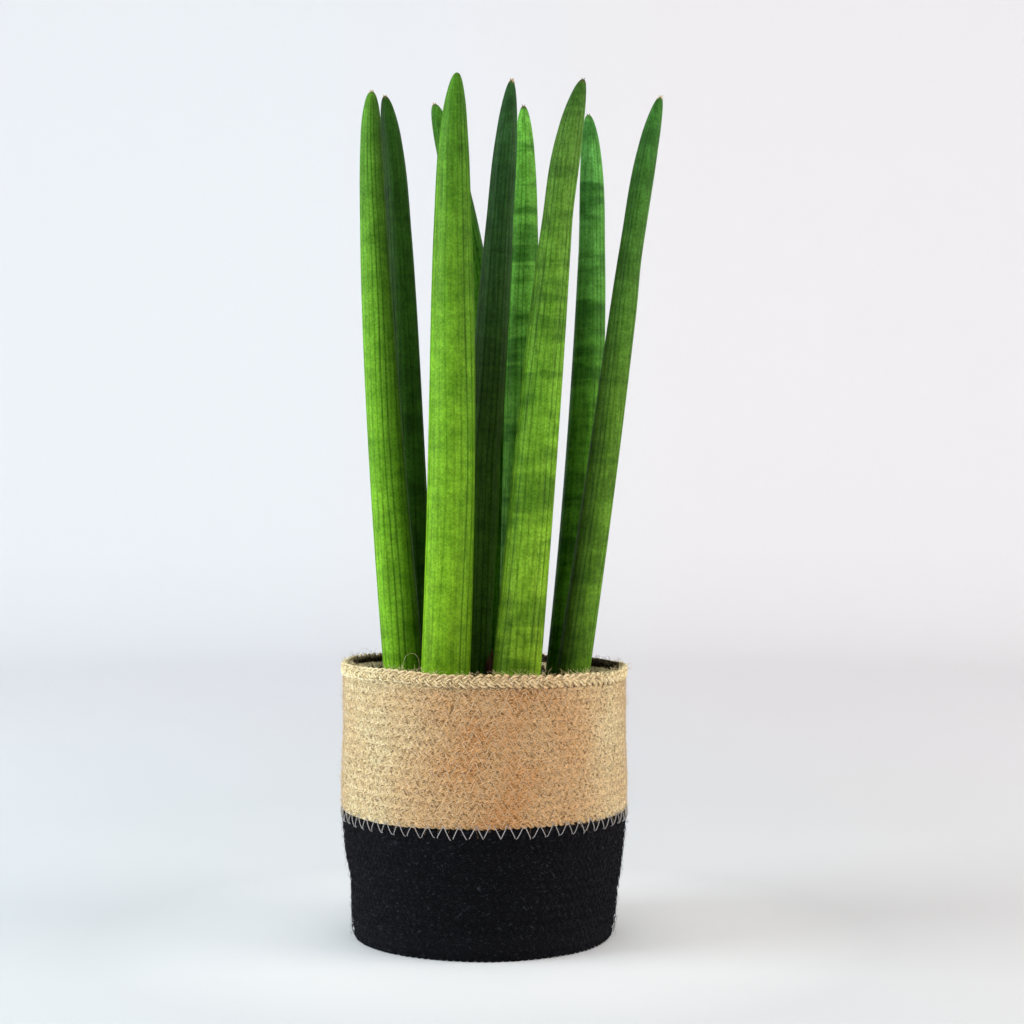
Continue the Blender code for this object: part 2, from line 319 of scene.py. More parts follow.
def juteFibre(name, look):
    # Retted jute: dull straw fibres that catch light along their length, with flecks that are brown bark on
    # the natural jute and painted highlights on the navy
    made, tree, shader = newMaterial(name)
    place = addNode(tree, "ShaderNodeAttribute", attribute_name="fibrePlace").outputs["Vector"]
    world = addNode(tree, "ShaderNodeTexCoord").outputs["Object"]
    # Bundles of fibre about 0.5 mm wide and 12 mm long, drawn coarser than the real 0.05 mm hairs
    stretched = addNode(tree, "ShaderNodeMapping", {"Vector": place, "Scale": (85, 2100, 2100)})
    strands = addNode(tree, "ShaderNodeTexNoise", {
        "Vector": stretched.outputs[0], "Scale": 1.0, "Detail": 4.0, "Roughness": 0.65}).outputs["Fac"]
    fleckPlace = addNode(tree, "ShaderNodeMapping", {"Vector": place, "Scale": look["fleckScale"]})
    flecks = addNode(tree, "ShaderNodeTexNoise", {
        "Vector": fleckPlace.outputs[0], "Scale": 1.0, "Detail": 3.0, "Roughness": 0.6}).outputs["Fac"]
    tone = addNode(tree, "ShaderNodeValToRGB", {"Fac": strands}, stops=look["fibre"])
    # Patches about 25 mm wide, and the side that faced the sun, are tanned more orange than the rest
    patches = addNode(tree, "ShaderNodeTexNoise", {"Vector": world, "Scale": 42.0, "Detail": 3.0})
    warm = addNode(tree, "ShaderNodeValToRGB", {"Fac": patches.outputs["Fac"]},
                   stops=[(0.38, 0.0), (0.64, 1.0)])
    where = addNode(tree, "ShaderNodeSeparateXYZ", {"Vector": world})
    turned = addNode(tree, "ShaderNodeMath", {
        0: where.outputs["X"], 1: tanSet["slant"], 2: where.outputs["Y"]}, operation="MULTIPLY_ADD")
    front = addNode(tree, "ShaderNodeMapRange", {
        "Value": turned.outputs[0], "From Min": tanSet["from"], "From Max": tanSet["full"]})
    tanned = addNode(tree, "ShaderNodeMath", {
        0: warm.outputs["Color"], 1: tanSet["patches"]}, operation="MULTIPLY")
    tannedFront = addNode(tree, "ShaderNodeMath", {
        0: front.outputs[0], 1: tanSet["front"]}, operation="MULTIPLY")
    tanBoth = addNode(tree, "ShaderNodeMath", {0: tanned.outputs[0], 1: tannedFront.outputs[0]},
                      operation="ADD", use_clamp=True)
    belowRim = addNode(tree, "ShaderNodeMapRange", {
        "Value": where.outputs["Z"], "From Min": tanSet["rimFrom"], "From Max": tanSet["bandFrom"],
        "To Min": tanSet["rimShare"]})
    tan = addNode(tree, "ShaderNodeMath", {
        0: tanBoth.outputs[0], 1: belowRim.outputs[0]}, operation="MULTIPLY")
    warmed = addNode(tree, "ShaderNodeMix", {
        0: tan.outputs[0], 6: tone.outputs["Color"], 7: linear(look["tan"])}, **darkened)
    fleckMask = addNode(tree, "ShaderNodeValToRGB", {"Fac": flecks},
                        stops=[(look["fleckFrom"], 0.0), (look["fleckFrom"] + 0.07, look["fleckMost"])])
    flecked = addNode(tree, "ShaderNodeMix", {
        0: fleckMask.outputs["Color"], 6: warmed.outputs[2], 7: linear(look["fleck"])}, **coloured)
    # Painted shade on the yarns that face the inside: a darker tone, mottled at 2 to 3 mm
    dust = addNode(tree, "ShaderNodeTexNoise", {
        "Vector": world, "Scale": 420.0, "Detail": 4.0, "Roughness": 0.7})
    shadedInside = addNode(tree, "ShaderNodeValToRGB", {"Fac": dust.outputs["Fac"]}, stops=look["dust"])
    inside = addNode(tree, "ShaderNodeAttribute", attribute_name="inside")
    colour = addNode(tree, "ShaderNodeMix", {
        0: inside.outputs["Fac"], 6: flecked.outputs[2], 7: shadedInside.outputs["Color"]}, **coloured)
    height = addNode(tree, "ShaderNodeMath", {0: strands, 1: flecks}, operation="ADD")
    raised = addNode(tree, "ShaderNodeBump", {
        "Height": height.outputs[0], "Strength": 1.0, "Distance": 0.5 * mm})
    rough = addNode(tree, "ShaderNodeMapRange", {"Value": strands, "To Min": 0.98, "To Max": 0.72})
    fillInputs(tree, shader, {
        "Base Color": colour.outputs[2], "Roughness": rough.outputs[0], "Normal": raised.outputs[0],
        "Specular IOR Level": 0.15})
    return made


naturalJute = juteFibre("naturalJuteFibre", naturalLook)
navyJute = juteFibre("navyDyedJuteFibre", navyLook)

threadLooks = {
    "natural": {"colour": "#E6CBA6", "gloss": 0.4},
    "navy": {"colour": "#0B0C11", "gloss": 0.05},
    "seam": {"colour": "#BBB6B4", "gloss": 0.4},
}


def spunThread(name, look):
    # Spun polyester sewing thread: two plies wound together, smooth enough to take a soft highlight
    made, tree, shader = newMaterial(name + "Thread")
    place = addNode(tree, "ShaderNodeAttribute", attribute_name="fibrePlace").outputs["Vector"]
    # Plies wind round once in about 1.2 mm
    plies = addNode(tree, "ShaderNodeTexWave", {
        "Vector": place, "Scale": 260.0, "Distortion": 1.5, "Detail": 2.0})
    tone = addNode(tree, "ShaderNodeMix", {
        0: plies.outputs["Fac"], 6: linear(look["colour"]), 7: (0.62, 0.6, 0.58, 1)}, **darkened)
    raised = addNode(tree, "ShaderNodeBump", {
        "Height": plies.outputs["Fac"], "Strength": 0.5, "Distance": 0.08 * mm})
    fillInputs(tree, shader, {
        "Base Color": tone.outputs[2], "Normal": raised.outputs[0], "Roughness": 0.6,
        "Specular IOR Level": look["gloss"]})
    return made


threads = {name: spunThread(name, look) for name, look in threadLooks.items()}

basket = {
    "rowsUpper": 14, "rowsLower": 13,
    "strapDepth": 2.0 * mm,  # middle of the strap, in from the wall's outside
    "rimDepth": 2.2 * mm,
    "footInsets": (1.0 * mm, 0.35 * mm),  # how far the two lowest rows draw in
    # yarns further in than this get the painted shade
    "dustFrom": 0.6 * mm,  # past the middle of the strap the yarns face the inside
    "tiltLeft": 1.6 * mm, "tiltRight": 1.3 * mm,  # how the soft rim rises and drops at its sides
}
strapYarn = {
    "plaitLength": 10.5 * mm,  # one full turn of a strand in the plait
    "radius": 0.56 * mm, "depth": 0.72 * mm, "sides": 6, "perTurn": 12, "plies": 0, "twist": 900.0,
}
rimYarn = {
    "plaitLength": 13.5 * mm,
    "radius": 0.72 * mm, "depth": 0.95 * mm, "sides": 10, "perTurn": 20, "plies": 3, "twist": 500.0,
}
# Painted shade on the inner side of the rim plait
rimShade = {
    "back": 1.8 * mm, "front": 2.8 * mm,  # how far in from the outside it starts
    "fade": 0.8 * mm, "most": 0.97, "above": 1 * mm, "down": 1.6 * mm, "least": 0.3,
}
chance = np.random.default_rng(12)
lowerLow, lowerHigh = (v.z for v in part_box("basket_lower_band"))
upperLow, upperHigh = (v.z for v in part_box("basket_upper_band"))
rimLow, rimHigh = (v.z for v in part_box("rim_plait"))
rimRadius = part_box("rim_plait")[1].x

# The wall's outside radius at rising heights, taken from the two bands and not from the grooves between rows
wallPoints = np.concatenate([nodePoints("basket_lower_band"), nodePoints("basket_upper_band")])
wallLevels = np.unique(np.round(wallPoints[:, 2], 5))
wallRadii = np.array([fromAxis(wallPoints[np.abs(wallPoints[:, 2] - z) < 2e-5]).max() for z in wallLevels])
nearby = np.array([wallRadii[np.abs(wallLevels - z) < 8 * mm].max() for z in wallLevels])
keep = (wallLevels > 4.9 * mm) & (wallRadii > nearby - 2.2 * mm)
wallLevels, wallRadii = wallLevels[keep], wallRadii[keep]


def wallRadius(z):
    return np.interp(z, wallLevels, wallRadii)


def softened(theta, radius, z):
    # The soft wall's own bulges and the rim's gentle tilt and waves
    free = np.clip((z - upperLow) / (rimHigh - upperLow), 0, 1)
    bulge = 0.55 * np.sin(2 * theta + 0.7 + 9 * z) + 0.4 * np.sin(3 * theta - 1.1 + 30 * z)
    bulge = bulge + 0.22 * np.sin(7 * theta + 55 * z)
    dent = -1.1 * np.exp(-((z - 31 * mm) / (9 * mm)) ** 2) * np.exp(-((np.cos(theta) + 1) / 0.16) ** 2)
    tilt = np.where(np.cos(theta) < 0, -basket["tiltLeft"], -basket["tiltRight"]) * np.cos(theta) * free
    wave = (0.35 * np.sin(5 * theta + 0.9) + 0.25 * np.sin(9 * theta + 2.0)) * mm * free
    return radius + (bulge + dent) * mm, z + tilt + wave


def onRing(theta, radius, z):
    radius, z = softened(theta, radius, z)
    return np.stack([radius * np.cos(theta), radius * np.sin(theta), z], -1)


def outwards(theta):
    return np.stack([np.cos(theta), np.sin(theta), np.zeros_like(theta)], -1)


def plaitRow(pile, z, radius, rowHeight, yarn):
    # Three strands of two yarns each that cross over and under each other, once round the basket
    turns = round(fullTurn * radius / yarn["plaitLength"])
    theta = np.linspace(0, fullTurn, turns * yarn["perTurn"], endpoint=False)
    phase = chance.uniform(0, fullTurn)
    drift = 0.18 * mm * np.sin(3 * theta + phase) + 0.12 * mm * np.sin(8 * theta + 2 * phase)
    swing, depth = rowHeight / 2 - 1.95 * yarn["radius"], yarn["depth"] * 0.8
    for strand in range(3):
        wobble = 0.22 * np.sin(11 * theta + strand + phase) + 0.1 * np.sin(29 * theta + 2 * strand - phase)
        swinging = turns * theta + fullTurn * strand / 3 + phase + wobble
        rise = swing * (np.sin(swinging) - 0.1 * np.sin(3 * swinging))
        slope = np.gradient(rise, theta * radius)
        for side in (-1, 1):
            beside = side * 0.95 * yarn["radius"] / np.sqrt(1 + slope ** 2)
            jitter = 0.12 * mm * np.sin(37 * theta + chance.uniform(0, fullTurn))
            jitter = jitter + 0.07 * mm * np.sin(83 * theta + chance.uniform(0, fullTurn))
            away = radius + depth * np.sin(2 * swinging) + jitter
            path = onRing(theta - beside * slope / radius, away, z + drift + rise + beside)
            made = tube(path, outwards(theta), yarn["radius"], yarn["depth"], yarn["sides"], True,
                        yarn["twist"], yarn["plies"])
            pile.add(made, chance.uniform(0, 3))


def strapInside(points):
    # Yarns nearer the axis than this edge get the painted shade in full
    edge = wallRadius(points[:, 2]) - basket["strapDepth"] - basket["dustFrom"]
    return (fromAxis(points) < edge).astype(float)


def rimInside(points):
    # Painted shade on the rim's inner side, which starts nearer the outside at the back and thins towards the
    # top
    edge = rimRadius - np.where(points[:, 1] > 0, rimShade["back"], rimShade["front"])
    inward = np.clip((edge - fromAxis(points)) / rimShade["fade"], 0, rimShade["most"])
    down = (rimHigh + rimShade["above"] - points[:, 2]) / rimShade["down"]
    return inward * np.clip(down, rimShade["least"], 1)


def strapBand(name, low, high, rows, look, slot, pieces, insets=()):
    pitch = (high - low) / rows
    made = []
    for part in np.array_split(np.arange(rows), pieces):
        pile = Pile()
        for row in part:
            z = low + (row + 0.5) * pitch
            inset = insets[row] if row < len(insets) else 0
            plaitRow(pile, z, wallRadius(z) - basket["strapDepth"] - inset, pitch + 0.25 * mm, strapYarn)
        piece = pile.piece(f"{name}_rows_{part[0] + 1}_to_{part[-1] + 1}", look, slot, inside=strapInside)
        made.append(piece)
    return made


def turnedShell(name, profile, look, around=160):
    # A closed ring or dish turned about the basket's axis
    theta = np.linspace(0, fullTurn, around, endpoint=False)
    rings = np.stack([onRing(theta, np.full(around, r), np.full(around, z)) for r, z in profile])
    places = np.stack([np.broadcast_to(theta * 0.07, rings.shape[:2]), rings[..., 2], rings[..., 0]], -1)
    marks = {"fibrePlace": places.reshape(-1, 3), "inside": np.zeros(rings.shape[0] * around)}
    makePiece(name, rings.reshape(-1, 3), ringFaces(len(profile), around, True), look, marks=marks)


lowerStraps = strapBand("lower_strap", lowerLow, lowerHigh, basket["rowsLower"], navyJute, "navy_jute", 4,
                        insets=basket["footInsets"])
upperStraps = strapBand("upper_strap", upperLow, rimLow, basket["rowsUpper"], naturalJute, "natural_jute", 4)
rimPile = Pile()
plaitRow(rimPile, (rimLow + rimHigh) / 2, rimRadius - basket["rimDepth"], rimHigh - rimLow + 0.2 * mm,
         rimYarn)
rimPiece = rimPile.piece("rim_plait_strands", naturalJute, "rim_jute", inside=rimInside)

# Packing inside the strap, so that no light comes between the strands
levels = np.linspace(upperLow + 1 * mm, rimLow + 2 * mm, 12)
upperOutside = [(wallRadius(z) - 1.5 * mm, z) for z in levels]
upperInside = [(wallRadius(z) - 2.7 * mm, z) for z in levels[::-1]]
turnedShell("upper_strap_packing", upperOutside + upperInside, naturalJute)
# The lower packing runs on under the basket as coils 5 mm wide
levels = np.linspace(1.2 * mm, lowerHigh, 14)
lowerOutside = [(wallRadius(z) - (3.2 if z < 3 * mm else 1.6) * mm, z) for z in levels[::-1]]
coils = [(radius * mm, (1.5 - 1.2 * abs(math.sin(math.pi * radius / 5))) * mm)
         for radius in np.arange(64.0, 0.9, -1.0)]
floorTop = [(1 * mm, 4.6 * mm), (63 * mm, 4.6 * mm)]
lowerInside = [(wallRadius(z) - 3 * mm, z) for z in levels[3:]]
turnedShell("lower_strap_packing", lowerOutside + coils + floorTop + lowerInside, navyJute)
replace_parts(lowerStraps[0], "basket_lower_band")
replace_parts(upperStraps[0], "basket_upper_band")
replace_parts(rimPiece, "rim_plait")
print("basket is plaited")

stitchLength = 8 * mm
stitches = {
    "upper": {"height": 7.0 * mm, "width": 0.94, "radius": 0.1495 * mm, "lift": -0.06 * mm},
    "lower": {"height": 5.6 * mm, "width": 0.94, "radius": 0.104 * mm, "lift": -0.55 * mm},  # sunk
    "seam": {"height": 6.5 * mm, "width": 0.8, "radius": 0.2 * mm, "lift": 0.2 * mm},
}
seamBelow = 1.1 * mm  # the seam's middle lies this far below the joint of the bands
legShares = np.array((-1.0, -0.82, -0.4, 0.0, 0.4, 0.82, 1.0))
legLifts = np.array((-1.1, -0.15, 0.1, 0.16, 0.1, -0.15, -1.1)) * mm


def zigzag(pile, level, sewn):
    # Sewn legs that dip into the strap at both ends
    around = wallRadius(level)
    count = round(fullTurn * around / stitchLength)
    step = fullTurn / (2 * count)
    start = chance.uniform(0, step)
    for leg in range(2 * count):
        rising = 1 if leg % 2 else -1
        middle = start + (leg + 0.5) * step
        half = sewn["height"] / 2 * chance.uniform(0.9, 1.05)
        theta = middle + legShares * step / 2 * sewn["width"] + chance.normal(0, 0.25) * mm / around
        z = level + rising * legShares * half + chance.normal(0, 0.3) * mm
        path = onRing(theta, wallRadius(z) + legLifts + sewn["lift"], z)
        made = tube(path, outwards(theta), sewn["radius"], sewn["radius"], 6, False, twist=2400.0)
        pile.add(made, chance.uniform(0, 3))


upperThread, lowerThread, seamThread = Pile(), Pile(), Pile()
upperPitch = (rimLow - upperLow) / basket["rowsUpper"]
for row in range(1, basket["rowsUpper"] + 1):
    zigzag(upperThread, upperLow + row * upperPitch, stitches["upper"])
lowerPitch = (lowerHigh - lowerLow) / basket["rowsLower"]
for row in range(1, basket["rowsLower"]):
    zigzag(lowerThread, lowerLow + row * lowerPitch, stitches["lower"])
zigzag(seamThread, lowerHigh - seamBelow, stitches["seam"])
upperThread.piece("upper_row_stitches", threads["natural"], "natural_jute")
lowerThread.piece("lower_row_stitches", threads["navy"], "navy_jute")
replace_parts(seamThread.piece("seam_stitches", threads["seam"], "pale_thread"), "seam_thread")

# How many hairs, the longest, their radius and how far the free end stands off
fuzz = {
    "upper": {"count": 5000, "longest": 8 * mm, "radius": 0.055 * mm, "stand": 2.6 * mm},
    "lower": {"count": 1700, "longest": 6 * mm, "radius": 0.05 * mm, "stand": 1.6 * mm},
    "inner": {"count": 700, "longest": 8 * mm, "radius": 0.06 * mm, "stand": 4 * mm},
    "rim": {"count": 1700, "shortest": 2 * mm, "longest": 7 * mm, "radius": 0.055 * mm},
}
# Long hairs that loop above the rim: where they start and end in degrees, then rise and lean
rimLoops = [
    (243.5, 235.5, 10.5 * mm, -5 * mm), (301, 307, 3 * mm, 3 * mm),
    (20, 31, 4 * mm, -2 * mm), (160, 150, 5 * mm, 2 * mm),
]
loopRadius = 0.038 * mm


def looseHairs(name, hairs, low, high, look, slot, inner=False):
    # Loose jute hairs that lie on the strap and lift off it at one end
    pile = Pile()
    along = np.linspace(0, 1, 6)
    radii = hairs["radius"] * np.linspace(1, 0.35, 6)
    for _ in range(hairs["count"]):
        theta0, z0 = chance.uniform(0, fullTurn), chance.uniform(low, high)
        length = hairs["longest"] * chance.uniform(0.3, 1.0)
        heading, bend = chance.uniform(0, fullTurn), chance.normal(0, 1.3)
        turning = heading + bend * along
        aside = np.cumsum(np.cos(turning)) * length / 6 / wallRadius(z0)
        up = np.cumsum(np.sin(turning)) * length / 6 * 0.75
        lift = hairs["stand"] * chance.uniform(0.05, 1.0) ** 2.2 * along ** 1.4
        theta = theta0 + aside - aside[0]
        z = np.clip(z0 + up - up[0], 0.4 * mm, None)
        away = wallRadius(z) - 4.0 * mm - lift if inner else wallRadius(z) + 0.12 * mm + lift
        made = tube(onRing(theta, away, z), outwards(theta), radii, radii, 3, False)
        pile.add(made, chance.uniform(0, 3))
    # Hairs on the inside get the painted shade at seven tenths
    pile.piece(name, look, slot, inside=lambda points: np.full(len(points), 0.7 * inner))


looseHairs("upper_loose_hairs", fuzz["upper"], upperLow, rimLow, naturalJute, "natural_jute")
looseHairs("lower_loose_hairs", fuzz["lower"], lowerLow + 2 * mm, lowerHigh, navyJute, "navy_jute")
looseHairs("inner_loose_hairs", fuzz["inner"], upperHigh - 22 * mm, rimHigh - 1 * mm, naturalJute,
           "natural_jute", inner=True)


def hairInside(points):
    # Only the hairs at the back of the rim get painted shade
    inward = np.clip((rimRadius - 2.6 * mm - fromAxis(points)) / rimShade["fade"], 0, 0.85)
    return inward * (points[:, 1] > 0)


def rimHairs():
    # Hairs that stand up off the top plait, and four long ones that loop
    hairs = fuzz["rim"]
    pile = Pile()
    along = np.linspace(0, 1, 6)
    for _ in range(hairs["count"]):
        theta0 = chance.uniform(0, fullTurn)
        across, length = chance.uniform(-1, 1), chance.uniform(hairs["shortest"], hairs["longest"])
        theta = theta0 + chance.normal(0, 0.045) * along + chance.normal(0, 0.03) * along ** 2
        radius = rimRadius - 3 * mm + across * 2.6 * mm + chance.normal(0, 1.4) * mm * along ** 1.5
        z = rimHigh - 1.2 * mm - abs(across) * 1.2 * mm + length * chance.uniform(0.05, 0.75) * along
        made = tube(onRing(theta, radius, z), outwards(theta), hairs["radius"], hairs["radius"], 3, False)
        pile.add(made, chance.uniform(0, 3))
    along = np.linspace(0, 1, 18)
    arch = np.sin(math.pi * along) ** 0.8
    for start, finish, rise, lean in rimLoops:
        theta = np.radians(start + (finish - start) * (along - 0.16 * np.sin(fullTurn * along)))
        path = onRing(theta, rimRadius - 4 * mm + lean * arch * 0.4, rimHigh - 2 * mm + rise * arch)
        pile.add(tube(path, outwards(theta), loopRadius, loopRadius, 5, False))
    pile.piece("rim_loose_hairs", naturalJute, "rim_jute", inside=hairInside)


rimHairs()
print("basket is sewn")

# shadeAt is the way the side with painted shade faces in degrees, paintedShade its strength and shadeTop the
# share left at the top
leafLooks = {
    "leaf_1": {
        "foot": "#79AF23", "middle": "#6FA627", "top": "#5D932D", "bands": 0.25, "bandScale": 80,
        "fuller": 0.06, "shadeAt": 10, "paintedShade": 0.8, "shadeTop": 0.9, "singe": 0.5,
        "tip": "#F2E6C8", "tipSize": 1.7},
    "leaf_2": {
        "foot": "#375F16", "middle": "#325915", "top": "#2E5717", "bands": 0.35, "bandScale": 80,
        "fuller": 0.14, "shadeAt": 190, "paintedShade": 0.7, "shadeTop": 0.8, "singe": 0.9,
        "tip": "#EADCB8", "tipSize": 1.4},
    "leaf_3": {
        "foot": "#82B322", "middle": "#72A525", "top": "#4D7F21", "bands": 0.22, "bandScale": 80,
        "fuller": 0.1, "shadeAt": 10, "paintedShade": 0.35, "shadeTop": 0.6, "singe": 0.12,
        "tip": "#8A9A5A", "tipSize": 0},
    "leaf_4": {
        "foot": "#579326", "middle": "#579326", "top": "#4F8B28", "bands": 0.3, "bandScale": 80,
        "fuller": 0.05, "shadeAt": 0, "paintedShade": 0.4, "shadeTop": 0.6, "singe": 0.7,
        "tip": "#E0CFA4", "tipSize": 1.1},
    # leaf_5 stands in deep shade behind the front leaves: its dark greens are partly its own darker skin and
    # partly painted shade
    "leaf_5": {
        "foot": "#3E6618", "middle": "#2C4811", "top": "#335C2E", "bands": 0.3, "bandScale": 80,
        "fuller": 0.2, "shadeAt": 180, "paintedShade": 0.4, "shadeTop": 0.7, "singe": 0.8,
        "tip": "#CDBB93", "tipSize": 1.5},
    "leaf_6": {
        "foot": "#629A32", "middle": "#66A53A", "top": "#70B744", "bands": 0.65, "bandScale": 125,
        "fuller": 0.1, "shadeAt": 0, "paintedShade": 0.3, "shadeTop": 0.5, "singe": 0.9,
        "tip": "#6A5A38", "tipSize": 0.7},
    "leaf_7": {
        "foot": "#84AC2A", "middle": "#70A42B", "top": "#557F30", "bands": 0.5, "bandScale": 95,
        "fuller": 0.32, "shadeAt": 190, "paintedShade": 0.25, "shadeTop": 0.8, "singe": 0.9,
        "tip": "#3E3A26", "tipSize": 0.6},
    "leaf_8": {
        "foot": "#52871F", "middle": "#508722", "top": "#5FA34B", "bands": 0.6, "bandScale": 95,
        "fuller": 0.2, "shadeAt": 200, "paintedShade": 0.35, "shadeTop": 0.2, "singe": 0.4,
        "tip": "#6E6440", "tipSize": 0.6},
    "leaf_9": {
        "foot": "#679227", "middle": "#598327", "top": "#40752F", "bands": 0.35, "bandScale": 85,
        "fuller": 0.26, "shadeAt": 190, "paintedShade": 0.95, "shadeTop": 0.1, "singe": 0.5,
        "tip": "#F0E6CE", "tipSize": 1.7},
}
leafSet = {
    "grooves": 20, "grooveDepth": 0.2 * mm, "pointsPerGroove": 8, "ribHeight": 0.12 * mm,
    "levels": 150, "tipLevels": 24,
    "taper": 24 * mm,  # length of the rounded end
    "fullFrom": 75 * mm, "fullOver": 48 * mm,  # below the tip, where a leaf begins to grow fuller
}
leafTones = {
    "band": "#4B7F5A", "blotch": "#A9BE7C", "furrow": "#8CA36C", "paintedShade": "#4E4C3A", "singed": "#4A4A2A"}


def livingLeaf(name, look, offset):
    # Fleshy leaf with a thin waxy skin: a soft satin shine over mottled green, furrows darker than the ribs
    made, tree, shader = newMaterial(name)
    world = addNode(tree, "ShaderNodeTexCoord").outputs["Object"]
    high = addNode(tree, "ShaderNodeAttribute", attribute_name="upLeaf")
    furrow = addNode(tree, "ShaderNodeAttribute", attribute_name="furrow")
    paintedShade = addNode(tree, "ShaderNodeAttribute", attribute_name="paintedShade")
    ends = addNode(tree, "ShaderNodeAttribute", attribute_name="fromTip")
    base = addNode(tree, "ShaderNodeValToRGB", {"Fac": high.outputs["Fac"]},
                   stops=[(0.05, look["foot"]), (0.5, look["middle"]), (0.93, look["top"])])
    # Ragged cross bands 8 to 13 mm tall
    bandPlace = addNode(tree, "ShaderNodeMapping", {
        "Vector": world, "Location": (offset, offset, offset), "Scale": (20, 20, look["bandScale"])})
    bands = addNode(tree, "ShaderNodeTexNoise", {
        "Vector": bandPlace.outputs[0], "Scale": 1.0, "Detail": 2.5, "Roughness": 0.55, "Distortion": 0.4})
    bandMask = addNode(tree, "ShaderNodeValToRGB", {"Fac": bands.outputs["Fac"]},
                       stops=[(0.46, 0.0), (0.62, look["bands"])])
    banded = addNode(tree, "ShaderNodeMix", {
        0: bandMask.outputs["Color"], 6: base.outputs["Color"], 7: linear(leafTones["band"])}, **darkened)
    # Blotches about 8 mm wide
    blotches = addNode(tree, "ShaderNodeTexNoise", {
        "Vector": world, "Scale": 130.0 + offset, "Detail": 3.0, "Roughness": 0.6})
    blotchMask = addNode(tree, "ShaderNodeValToRGB", {"Fac": blotches.outputs["Fac"]},
                         stops=[(0.42, 0.0), (0.68, 0.55)])
    blotched = addNode(tree, "ShaderNodeMix", {
        0: blotchMask.outputs["Color"], 6: banded.outputs[2], 7: linear(leafTones["blotch"])}, **darkened)
    # Streaks about 1.6 mm wide that run up the leaf
    streakPlace = addNode(tree, "ShaderNodeMapping", {
        "Vector": world, "Location": (offset, 0, 0), "Scale": (620, 620, 14)})
    streaks = addNode(tree, "ShaderNodeTexNoise", {
        "Vector": streakPlace.outputs[0], "Scale": 1.0, "Detail": 3.0, "Roughness": 0.6}).outputs["Fac"]
    streakTone = addNode(tree, "ShaderNodeValToRGB", {"Fac": streaks},
                         stops=[(0.3, 0.62), (0.5, 1.0), (0.72, 1.3)])
    streaked = addNode(tree, "ShaderNodeMix", {
        0: 0.8, 6: blotched.outputs[2], 7: streakTone.outputs["Color"]}, **darkened)
    # Pale and dark speckle with a grain of about a millimetre
    speckle = addNode(tree, "ShaderNodeTexNoise", {
        "Vector": world, "Scale": 800.0, "Detail": 3.0, "Roughness": 0.7}).outputs["Fac"]
    grainTone = addNode(tree, "ShaderNodeValToRGB", {"Fac": speckle},
                        stops=[(0.35, 0.55), (0.5, 1.0), (0.66, 1.45)])
    grained = addNode(tree, "ShaderNodeMix", {
        0: 0.6, 6: streaked.outputs[2], 7: grainTone.outputs["Color"]}, **darkened)
    furrowed = addNode(tree, "ShaderNodeMix", {
        0: furrow.outputs["Fac"], 6: grained.outputs[2], 7: linear(leafTones["furrow"])}, **darkened)
    # Painted shade on the sides that face the clump, where less light reaches them
    shaded = addNode(tree, "ShaderNodeMix", {
        0: paintedShade.outputs["Fac"], 6: furrowed.outputs[2], 7: linear(leafTones["paintedShade"])}, **darkened)
    # The last millimetres dry out to brown
    dry = addNode(tree, "ShaderNodeValToRGB", {"Fac": ends.outputs["Fac"]},
                  stops=[(0.0, look["singe"]), (0.3, look["singe"]), (0.8, 0.0)])
    tipped = addNode(tree, "ShaderNodeMix", {
        0: dry.outputs["Color"], 6: shaded.outputs[2], 7: linear(leafTones["singed"])}, **coloured)
    bumps = addNode(tree, "ShaderNodeMath", {0: streaks, 1: speckle}, operation="ADD")
    raised = addNode(tree, "ShaderNodeBump", {
        "Height": bumps.outputs[0], "Strength": 0.35, "Distance": 0.12 * mm})
    rough = addNode(tree, "ShaderNodeMapRange", {"Value": streaks, "To Min": 0.42, "To Max": 0.58})
    fillInputs(tree, shader, {
        "Base Color": tipped.outputs[2], "Roughness": rough.outputs[0], "Normal": raised.outputs[0],
        "IOR": 1.45, "Specular IOR Level": 0.07})
    return made


def driedPoint(name, colour):
    # Dead leaf tissue at the very tip: papery, dull and pale
    made, tree, shader = newMaterial(name)
    world = addNode(tree, "ShaderNodeTexCoord").outputs["Object"]
    grain = addNode(tree, "ShaderNodeTexNoise", {
        "Vector": world, "Scale": 1600.0, "Detail": 3.0}).outputs["Fac"]
    tone = addNode(tree, "ShaderNodeMix", {0: grain, 6: linear(colour), 7: linear("#6B5030")}, **coloured)
    raised = addNode(tree, "ShaderNodeBump", {"Height": grain, "Strength": 0.6, "Distance": 0.1 * mm})
    fillInputs(tree, shader, {
        "Base Color": tone.outputs[2], "Normal": raised.outputs[0], "Roughness": 0.85})
    return made


